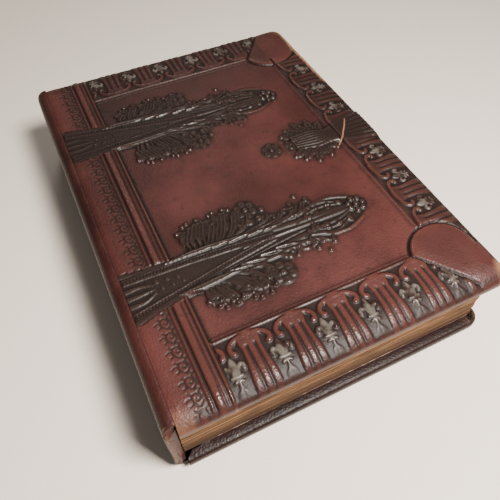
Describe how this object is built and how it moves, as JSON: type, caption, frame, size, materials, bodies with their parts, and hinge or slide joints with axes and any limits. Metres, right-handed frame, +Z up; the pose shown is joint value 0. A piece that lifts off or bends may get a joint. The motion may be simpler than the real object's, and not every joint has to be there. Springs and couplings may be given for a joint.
{
  "type": "leather-bound family book",
  "caption": "Thick hardback book in embossed leather with sunk-panel covers, strap-shaped relief ornaments and stiff card leaves; opens flat at the middle of the block.",
  "frame": {"origin": "on the table under the middle of the closed book, which lies on its back cover", "axes": "+Z up through the front cover, +X from the spine to the fore edge, +Y from the tail to the head"},
  "size_m": [0.204, 0.28, 0.064],
  "materials": {
    "cover_leather": "embossed, worn satin",
    "relief_leather": "embossed, dark glossy patina",
    "spine_leather": "smooth, worn satin",
    "board": "matt",
    "endpaper": "matt",
    "hinge_cloth": "matt",
    "leaf_card": "matt, aged edges",
    "guard_cloth": "matt"
  },
  "bodies": {
    "back_cover": {"back_board": "board", "back_border_core": "board", "back_cover_leather": "cover_leather", "back_strap_relief_tail": "relief_leather", "back_strap_relief_head": "relief_leather", "back_fan_relief": "relief_leather", "back_pastedown": "endpaper", "back_hinge_cloth": "hinge_cloth", "back_flyleaf": "endpaper"},
    "spine": {"spine_leather": "spine_leather", "spine_inlay": "board", "spine_lining": "hinge_cloth", "back_joint_leather": "spine_leather", "front_joint_leather": "spine_leather"},
    "front_cover": {"front_board": "board", "front_border_core": "board", "front_cover_leather": "cover_leather", "front_strap_relief_tail": "relief_leather", "front_strap_relief_head": "relief_leather", "front_fan_relief": "relief_leather", "front_pastedown": "endpaper", "front_hinge_cloth": "hinge_cloth", "front_flyleaf": "endpaper"},
    "leaf_01": {"leaf_01": "leaf_card", "guard_01": "guard_cloth"},
    "leaf_02": {"leaf_02": "leaf_card", "guard_02": "guard_cloth"},
    "leaf_03": {"leaf_03": "leaf_card", "guard_03": "guard_cloth"},
    "leaf_04": {"leaf_04": "leaf_card", "guard_04": "guard_cloth"},
    "leaf_05": {"leaf_05": "leaf_card", "guard_05": "guard_cloth"},
    "leaf_06": {"leaf_06": "leaf_card", "guard_06": "guard_cloth"},
    "leaf_07": {"leaf_07": "leaf_card", "guard_07": "guard_cloth"},
    "leaf_08": {"leaf_08": "leaf_card", "guard_08": "guard_cloth"},
    "leaf_09": {"leaf_09": "leaf_card", "guard_09": "guard_cloth"},
    "leaf_10": {"leaf_10": "leaf_card", "guard_10": "guard_cloth"},
    "leaf_11": {"leaf_11": "leaf_card", "guard_11": "guard_cloth"},
    "leaf_12": {"leaf_12": "leaf_card", "guard_12": "guard_cloth"}
  },
  "joints": [
    {"name": "book_open", "type": "hinge", "parent": "back_cover", "child": "spine", "pos_m": [-0.0945, 0, 0.0075], "axis": [0, -1, 0], "range_deg": [0, 90]},
    {"name": "front_cover_turn", "type": "hinge", "parent": "spine", "child": "front_cover", "pos_m": [-0.0945, 0, 0.0565], "axis": [0, -1, 0], "range_deg": [0, 90]},
    {"name": "leaf_01_shift", "type": "slide", "parent": "back_cover", "child": "leaf_01", "axis": [-1, 0, 0], "range_m": [0, 0.00192]},
    {"name": "leaf_02_shift", "type": "slide", "parent": "back_cover", "child": "leaf_02", "axis": [-1, 0, 0], "range_m": [0, 0.00564]},
    {"name": "leaf_03_shift", "type": "slide", "parent": "back_cover", "child": "leaf_03", "axis": [-1, 0, 0], "range_m": [0, 0.00936]},
    {"name": "leaf_04_shift", "type": "slide", "parent": "back_cover", "child": "leaf_04", "axis": [-1, 0, 0], "range_m": [0, 0.01308]},
    {"name": "leaf_05_shift", "type": "slide", "parent": "back_cover", "child": "leaf_05", "axis": [-1, 0, 0], "range_m": [0, 0.0168]},
    {"name": "leaf_06_shift", "type": "slide", "parent": "back_cover", "child": "leaf_06", "axis": [-1, 0, 0], "range_m": [0, 0.02052]},
    {"name": "leaf_07_shift", "type": "slide", "parent": "back_cover", "child": "leaf_07", "axis": [-1, 0, 0], "range_m": [0, 0.02424]},
    {"name": "leaf_08_shift", "type": "slide", "parent": "front_cover", "child": "leaf_08", "axis": [-1, 0, 0], "range_m": [0, 0.0168]},
    {"name": "leaf_09_shift", "type": "slide", "parent": "front_cover", "child": "leaf_09", "axis": [-1, 0, 0], "range_m": [0, 0.01308]},
    {"name": "leaf_10_shift", "type": "slide", "parent": "front_cover", "child": "leaf_10", "axis": [-1, 0, 0], "range_m": [0, 0.00936]},
    {"name": "leaf_11_shift", "type": "slide", "parent": "front_cover", "child": "leaf_11", "axis": [-1, 0, 0], "range_m": [0, 0.00564]},
    {"name": "leaf_12_shift", "type": "slide", "parent": "front_cover", "child": "leaf_12", "axis": [-1, 0, 0], "range_m": [0, 0.00192]}
  ],
  "couplings": [
    {"joint": "front_cover_turn", "follows": "book_open", "ratio": 1},
    {"joint": "leaf_01_shift", "follows": "book_open", "m_per_rad": 0.001222},
    {"joint": "leaf_02_shift", "follows": "book_open", "m_per_rad": 0.00359},
    {"joint": "leaf_03_shift", "follows": "book_open", "m_per_rad": 0.005958},
    {"joint": "leaf_04_shift", "follows": "book_open", "m_per_rad": 0.008326},
    {"joint": "leaf_05_shift", "follows": "book_open", "m_per_rad": 0.010695},
    {"joint": "leaf_06_shift", "follows": "book_open", "m_per_rad": 0.013063},
    {"joint": "leaf_07_shift", "follows": "book_open", "m_per_rad": 0.015431},
    {"joint": "leaf_08_shift", "follows": "book_open", "m_per_rad": 0.010695},
    {"joint": "leaf_09_shift", "follows": "book_open", "m_per_rad": 0.008326},
    {"joint": "leaf_10_shift", "follows": "book_open", "m_per_rad": 0.005958},
    {"joint": "leaf_11_shift", "follows": "book_open", "m_per_rad": 0.00359},
    {"joint": "leaf_12_shift", "follows": "book_open", "m_per_rad": 0.001222}
  ]
}
